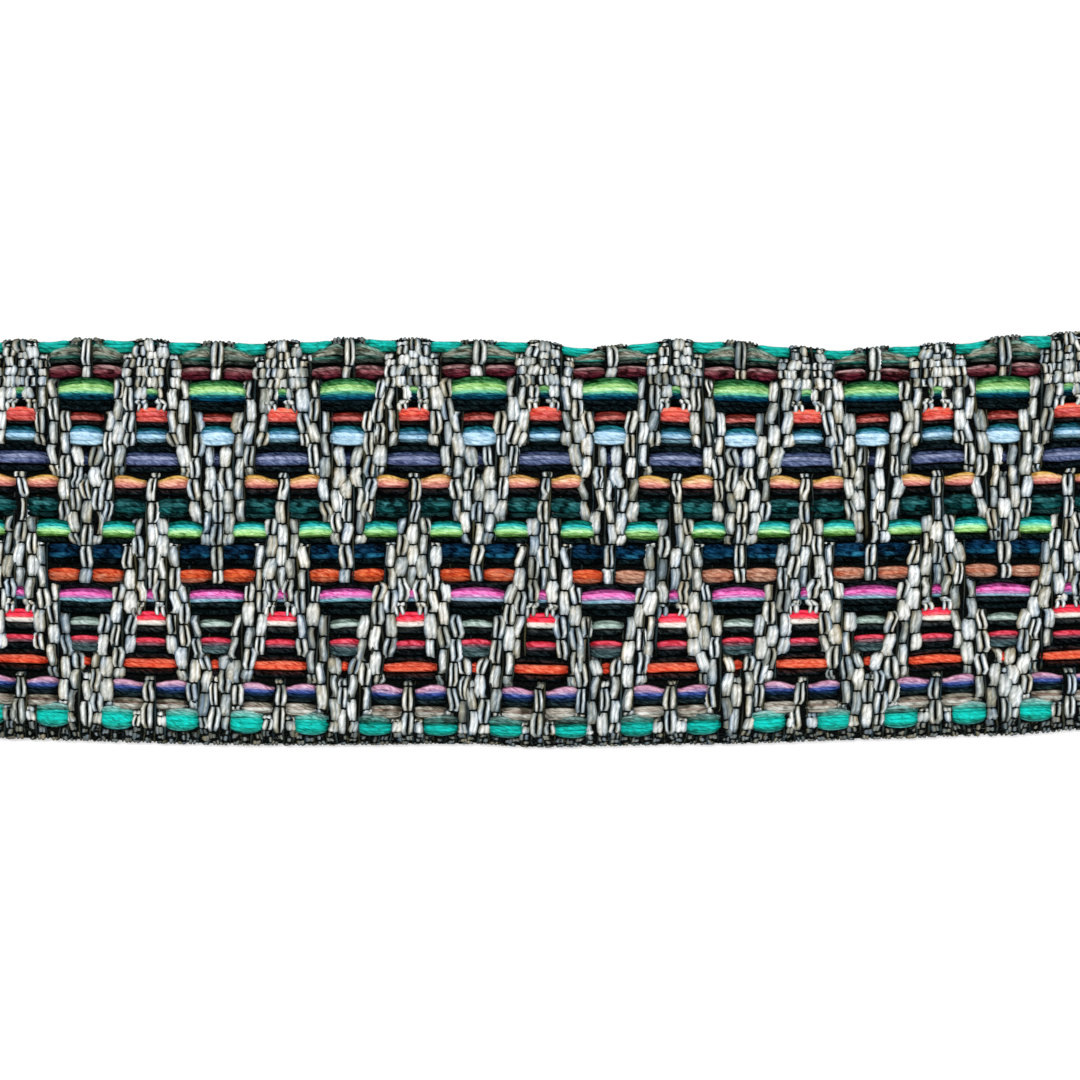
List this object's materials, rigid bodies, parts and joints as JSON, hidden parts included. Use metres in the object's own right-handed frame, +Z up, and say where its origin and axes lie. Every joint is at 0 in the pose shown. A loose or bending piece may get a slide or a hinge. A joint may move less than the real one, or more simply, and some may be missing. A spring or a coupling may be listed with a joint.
{
  "type": "herringbone webbing",
  "caption": "Cut length of flat woven strap webbing, cream herringbone ribs over bars of coloured yarn, raw cut ends, lying face up.",
  "frame": {"origin": "middle of the strap's box, on its flat underside", "axes": "+X along the strap, +Y across it towards the upper selvedge with its slanted teal yarn, +Z up out of the patterned face"},
  "size_m": [0.163, 0.0524, 0.0022],
  "materials": {
    "cream_yarn": "matt spun yarn",
    "dark_yarn": "matt fine yarn",
    "colour_yarn": "soft sheen, space-dyed colours from row to row"
  },
  "bodies": {
    "root": {"webbing": "cream_yarn"}
  },
  "joints": []
}
